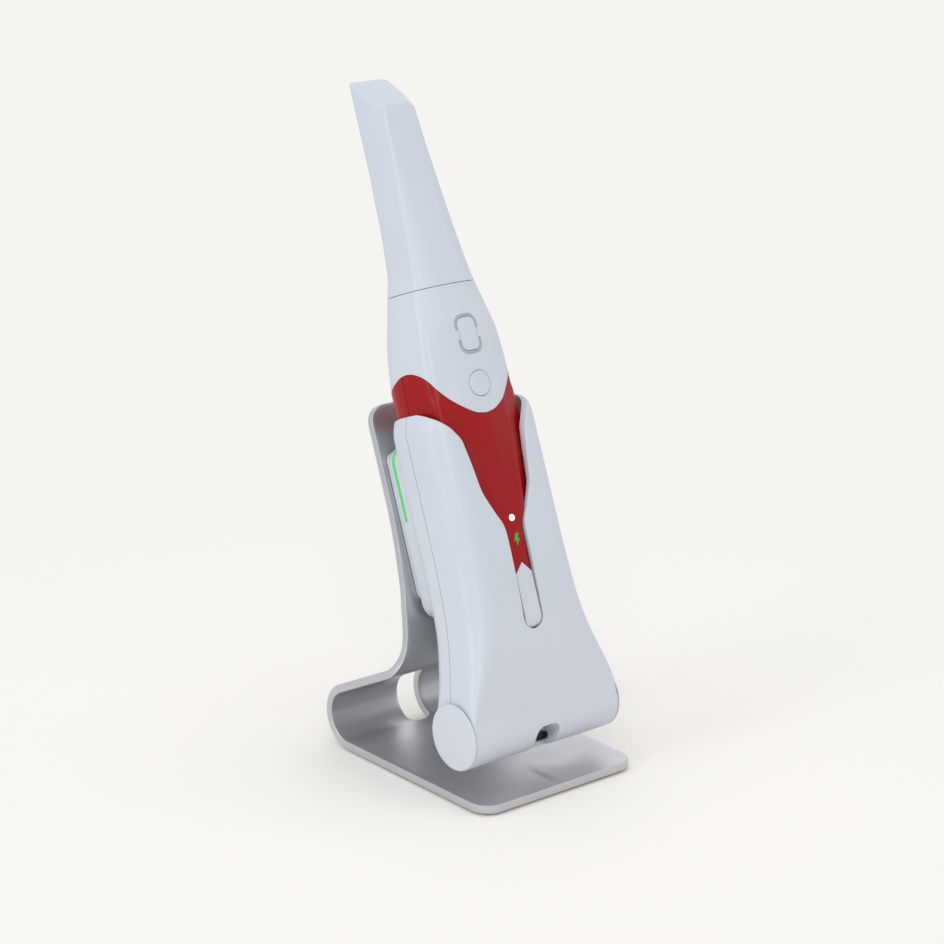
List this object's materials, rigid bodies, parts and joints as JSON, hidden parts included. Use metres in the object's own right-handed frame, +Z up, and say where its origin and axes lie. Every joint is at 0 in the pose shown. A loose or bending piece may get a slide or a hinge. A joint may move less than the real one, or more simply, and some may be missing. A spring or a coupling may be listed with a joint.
{
  "type": "intraoral scanner",
  "caption": "Wireless intraoral scanner with a pull-off mirror tip, standing in its charging dock, with a wireless receiver, on a bent sheet stand.",
  "frame": {"origin": "middle of the bounding box at the level of the surface that the foot pads stand on", "axes": "+Z up, -Y to the front (the side with the buttons and the cable notch), +X to the right seen from the front"},
  "size_m": [0.07, 0.107, 0.2338],
  "materials": {
    "aluminium": "satin sheet with bright cut edges",
    "black_rubber": "matte",
    "white_plastic": "satin gloss",
    "red_plastic": "satin gloss",
    "grey_plastic": "satin",
    "black_plastic": "matte",
    "green_light": "lit",
    "white_light": "lit",
    "circuit_board": "solder mask",
    "gold_contact": "plated",
    "steel": "plated",
    "cell_wrap": "shrink wrap",
    "glass": "clear",
    "mirror": "polished",
    "lens_black": "anodised look"
  },
  "bodies": {
    "dock_and_handle": {"stand_plate": "aluminium", "foot_pad_front_left": "black_rubber", "foot_pad_back_left": "black_rubber", "foot_pad_front_right": "black_rubber", "foot_pad_back_right": "black_rubber", "dock_front_shell": "white_plastic", "dock_rear_shell": "white_plastic", "dock_cap_left": "white_plastic", "dock_cap_right": "white_plastic", "dock_floor": "white_plastic", "contact_block": "black_plastic", "dock_board": "circuit_board", "cable_recess": "white_plastic", "charge_socket": "black_plastic", "receiver_case": "white_plastic", "receiver_light": "green_light", "receiver_cover": "white_plastic", "receiver_board": "circuit_board", "mount_screw_lower": "steel", "mount_screw_upper": "steel", "handle_front_shell": "red_plastic", "handle_rear_shell": "red_plastic", "nose_housing": "white_plastic", "tail_inlay": "white_plastic", "charge_sign": "green_light", "status_light": "white_light", "tail_contact_left": "gold_contact", "tail_contact_right": "gold_contact", "scan_ring_lower": "grey_plastic", "scan_ring_upper": "grey_plastic", "inner_frame": "black_plastic", "battery": "cell_wrap", "main_board": "circuit_board", "button_board": "circuit_board", "scan_switch": "black_plastic", "power_switch": "black_plastic", "heat_sink": "aluminium", "camera_board": "circuit_board", "optics_block": "aluminium", "camera_lens": "lens_black", "projector_lens": "lens_black", "nose_tube": "white_plastic", "nose_seal": "black_rubber", "nose_window": "glass"},
    "tip": {"scan_tip": "white_plastic", "tip_mirror": "mirror"},
    "scan_key": {"scan_button": "white_plastic"},
    "power_key": {"power_button": "white_plastic"},
    "pin_left": {"charge_pin_left": "gold_contact"},
    "pin_right": {"charge_pin_right": "gold_contact"}
  },
  "joints": [
    {"name": "tip_pull", "type": "slide", "parent": "dock_and_handle", "child": "tip", "axis": [0, 0.3502, 0.9367], "range_m": [0, 0.04]},
    {"name": "scan_press", "type": "slide", "parent": "dock_and_handle", "child": "scan_key", "axis": [0, 0.9367, -0.3502], "range_m": [0, 0.0005], "stiffness_N_per_m": 600, "springref_m": -0.0005},
    {"name": "power_press", "type": "slide", "parent": "dock_and_handle", "child": "power_key", "axis": [0, 0.9367, -0.3502], "range_m": [0, 0.0005], "stiffness_N_per_m": 600, "springref_m": -0.0005},
    {"name": "pin_left_press", "type": "slide", "parent": "dock_and_handle", "child": "pin_left", "axis": [0, 0.3502, 0.9367], "range_m": [-0.0006, 0], "stiffness_N_per_m": 200, "springref_m": 0.0005},
    {"name": "pin_right_press", "type": "slide", "parent": "dock_and_handle", "child": "pin_right", "axis": [0, 0.3502, 0.9367], "range_m": [-0.0006, 0], "stiffness_N_per_m": 200, "springref_m": 0.0005}
  ]
}
